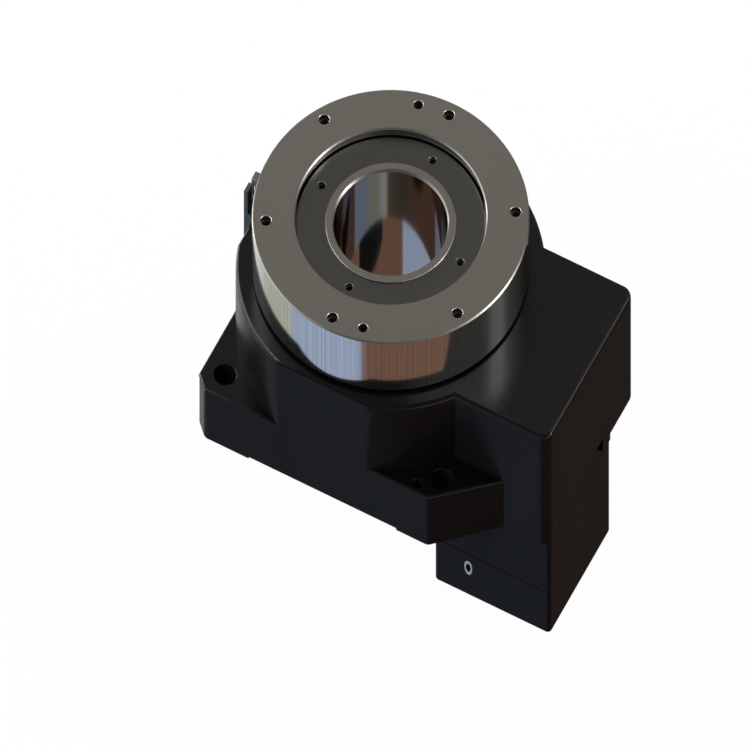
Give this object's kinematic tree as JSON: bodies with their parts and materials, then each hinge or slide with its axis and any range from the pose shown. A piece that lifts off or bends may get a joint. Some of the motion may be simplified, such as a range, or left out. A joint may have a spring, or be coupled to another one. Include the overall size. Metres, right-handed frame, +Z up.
{
  "type": "hollow rotary platform",
  "caption": "Geared rotary platform with an open centre: flanged table on a crossed-roller bearing, turned by a side pinion under a square motor flange.",
  "frame": {"origin": "on the table's axis, in the plane of the base pads", "axes": "+Z up along the table's axis, +X towards the motor side"},
  "size_m": [0.119, 0.09, 0.0495],
  "materials": {
    "housing_black": "satin",
    "table_steel": "satin",
    "flange_grey": "satin",
    "tube_steel": "polished",
    "bearing_steel": "ground",
    "gear_steel": "machined",
    "screw_black": "black oxide",
    "screw_bright": "bright zinc",
    "spring_steel": "phosphated",
    "seal_rubber": "matt",
    "spacer_plastic": "natural",
    "sensor_plastic": "satin",
    "cover_black": "anodised"
  },
  "bodies": {
    "base": {"housing": "housing_black", "bottom_cover": "cover_black", "cover_screws": "screw_black", "bearing_outer_ring_upper": "bearing_steel", "bearing_outer_ring_lower": "bearing_steel", "bearing_snap_ring": "spring_steel", "table_seal": "seal_rubber", "centre_tube": "tube_steel", "inner_flange": "flange_grey", "motor_adapter": "housing_black", "adapter_screws": "screw_black", "motor_flange": "housing_black", "flange_screws": "screw_black", "access_plug": "screw_bright", "upper_pinion_bearing_outer": "bearing_steel", "lower_pinion_bearing_outer": "bearing_steel", "shaft_seal": "seal_rubber", "sensor_body": "sensor_plastic", "sensor_screws": "screw_bright"},
    "table": {"rotary_table": "table_steel", "bearing_inner_ring": "bearing_steel", "driven_gear": "gear_steel", "gear_screws": "screw_black", "sensor_flag": "screw_bright", "flag_screw": "screw_bright"},
    "roller_set": {"bearing_rollers": "bearing_steel", "bearing_spacers": "spacer_plastic"},
    "pinion": {"pinion_shaft": "gear_steel", "upper_pinion_bearing_inner": "bearing_steel", "lower_pinion_bearing_inner": "bearing_steel", "pinion_circlip": "spring_steel", "clamp_collar": "gear_steel", "clamp_screw": "screw_black"},
    "upper_roller_set": {"upper_pinion_rollers": "bearing_steel"},
    "lower_roller_set": {"lower_pinion_rollers": "bearing_steel"}
  },
  "joints": [
    {"name": "table_spin", "type": "hinge", "parent": "base", "child": "table", "pos_m": [0, 0, 0.0155], "axis": [0, 0, 1], "continuous": true},
    {"name": "roller_spin", "type": "hinge", "parent": "base", "child": "roller_set", "pos_m": [0, 0, 0.0155], "axis": [0, 0, 1], "continuous": true},
    {"name": "pinion_spin", "type": "hinge", "parent": "base", "child": "pinion", "pos_m": [0.04977, -0.00796, 0.006], "axis": [0, 0, 1], "continuous": true},
    {"name": "upper_roller_spin", "type": "hinge", "parent": "base", "child": "upper_roller_set", "pos_m": [0.04977, -0.00796, 0.014], "axis": [0, 0, 1], "continuous": true},
    {"name": "lower_roller_spin", "type": "hinge", "parent": "base", "child": "lower_roller_set", "pos_m": [0.04977, -0.00796, -0.0024], "axis": [0, 0, 1], "continuous": true}
  ],
  "couplings": [
    {"joint": "roller_spin", "follows": "table_spin", "ratio": 0.48},
    {"joint": "pinion_spin", "follows": "table_spin", "ratio": -5},
    {"joint": "upper_roller_spin", "follows": "table_spin", "ratio": -2.05},
    {"joint": "lower_roller_spin", "follows": "table_spin", "ratio": -2.2}
  ]
}
